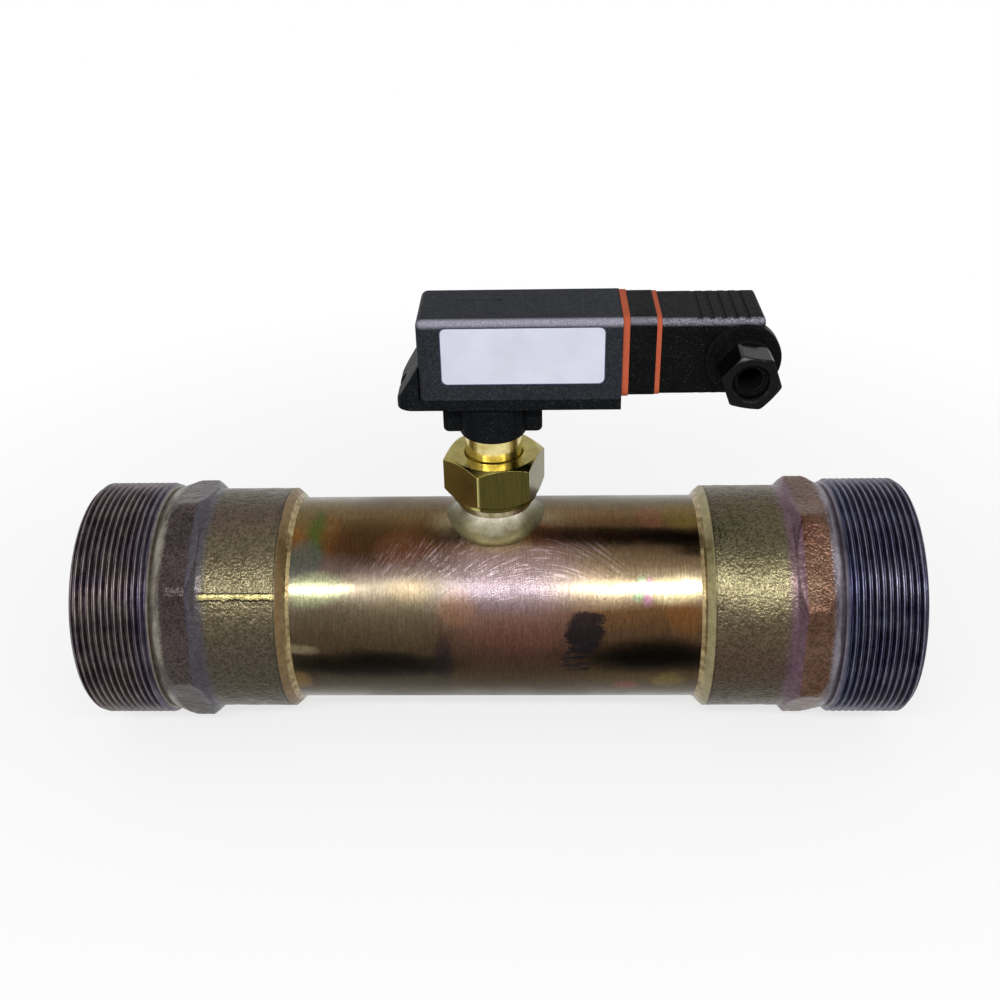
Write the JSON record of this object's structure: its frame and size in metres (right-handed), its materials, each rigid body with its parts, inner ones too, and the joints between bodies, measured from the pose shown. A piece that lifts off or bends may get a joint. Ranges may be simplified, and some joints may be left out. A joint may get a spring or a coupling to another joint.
{
  "type": "paddle flow switch",
  "caption": "Paddle flow switch: copper measuring tube with threaded cast adapters, a magnet paddle in the flow, and a reed-contact head with a plug connector.",
  "frame": {"origin": "centre of the inlet end face, on the pipe axis", "axes": "+X along the pipe with the flow, +Z from the pipe towards the switch head"},
  "size_m": [0.3, 0.0896, 0.1636],
  "materials": {
    "copper": "heat-tarnished polished copper",
    "gunmetal": "sand-cast gunmetal, heat stained",
    "solder": "bright solder and braze metal",
    "brass": "turned brass",
    "fibre": "flat fibre gasket",
    "steel": "stainless steel",
    "magnet": "nickel-plated magnet",
    "housing_plastic": "black moulded plastic with a fine grain",
    "connector_plastic": "black moulded plastic with a fine grain",
    "gland_plastic": "glossy black moulded plastic",
    "inner_plastic": "natural moulded plastic",
    "label": "satin foil, bare",
    "glass": "clear glass capsule",
    "silicone": "orange-red silicone",
    "tinned_brass": "tinned brass",
    "rubber": "black rubber"
  },
  "bodies": {
    "fitting": {"measuring_tube": "copper", "inlet_adapter": "gunmetal", "outlet_adapter": "gunmetal", "inlet_solder": "solder", "outlet_solder": "solder", "branch_boss": "brass", "branch_braze": "solder", "union_nut": "brass", "union_gasket": "fibre", "switch_sleeve": "brass", "pivot_pin": "steel", "reset_magnet": "magnet", "housing_base": "housing_plastic", "housing_cover": "housing_plastic", "cover_screws": "steel", "rating_label": "label", "base_gasket": "silicone", "connector_base": "connector_plastic", "connector_insert": "brass", "connector_screws": "steel", "contact_pins": "tinned_brass", "plug_gasket": "silicone"},
    "paddle": {"paddle_lever": "steel", "paddle_blade": "steel", "blade_rivets": "steel", "lever_magnet": "magnet"},
    "setpoint": {"setpoint_screw": "brass", "screw_clip": "steel"},
    "carriage": {"reed_carriage": "inner_plastic", "reed_switch": "glass"},
    "plug": {"plug_housing": "connector_plastic", "plug_insert": "connector_plastic", "terminal_screws": "steel", "gland_seal": "rubber"},
    "plug_fixing": {"plug_screw": "steel"},
    "gland_thrust": {"gland_washer": "connector_plastic"},
    "gland_cap": {"gland_nut": "gland_plastic"}
  },
  "joints": [
    {"name": "paddle_swing", "type": "hinge", "parent": "fitting", "child": "paddle", "pos_m": [0.15, 0, 0.06], "axis": [0, -1, 0], "range_deg": [0, 10], "stiffness_Nm_per_rad": 0.02, "springref_deg": -2.86},
    {"name": "carriage_shift", "type": "slide", "parent": "fitting", "child": "carriage", "axis": [1, 0, 0], "range_m": [-0.0015, 0.0015]},
    {"name": "setpoint_turn", "type": "hinge", "parent": "fitting", "child": "setpoint", "pos_m": [0.13, 0, 0.091], "axis": [1, 0, 0], "range_deg": [-1080, 1080]},
    {"name": "plug_pull", "type": "slide", "parent": "fitting", "child": "plug", "axis": [1, 0, 0], "range_m": [0, 0.025]},
    {"name": "plug_screw_turn", "type": "hinge", "parent": "plug", "child": "plug_fixing", "pos_m": [0.23, 0, 0.1044], "axis": [1, 0, 0], "continuous": true},
    {"name": "gland_thrust_shift", "type": "slide", "parent": "plug", "child": "gland_thrust", "axis": [0, -1, 0], "range_m": [0, 0.0049]},
    {"name": "gland_nut_turn", "type": "hinge", "parent": "gland_thrust", "child": "gland_cap", "pos_m": [0.2325, -0.03, 0.1044], "axis": [0, -1, 0], "range_deg": [0, 1260]}
  ],
  "couplings": [
    {"joint": "setpoint_turn", "follows": "carriage_shift", "rad_per_m": -12566},
    {"joint": "gland_nut_turn", "follows": "gland_thrust_shift", "rad_per_m": 4453}
  ]
}
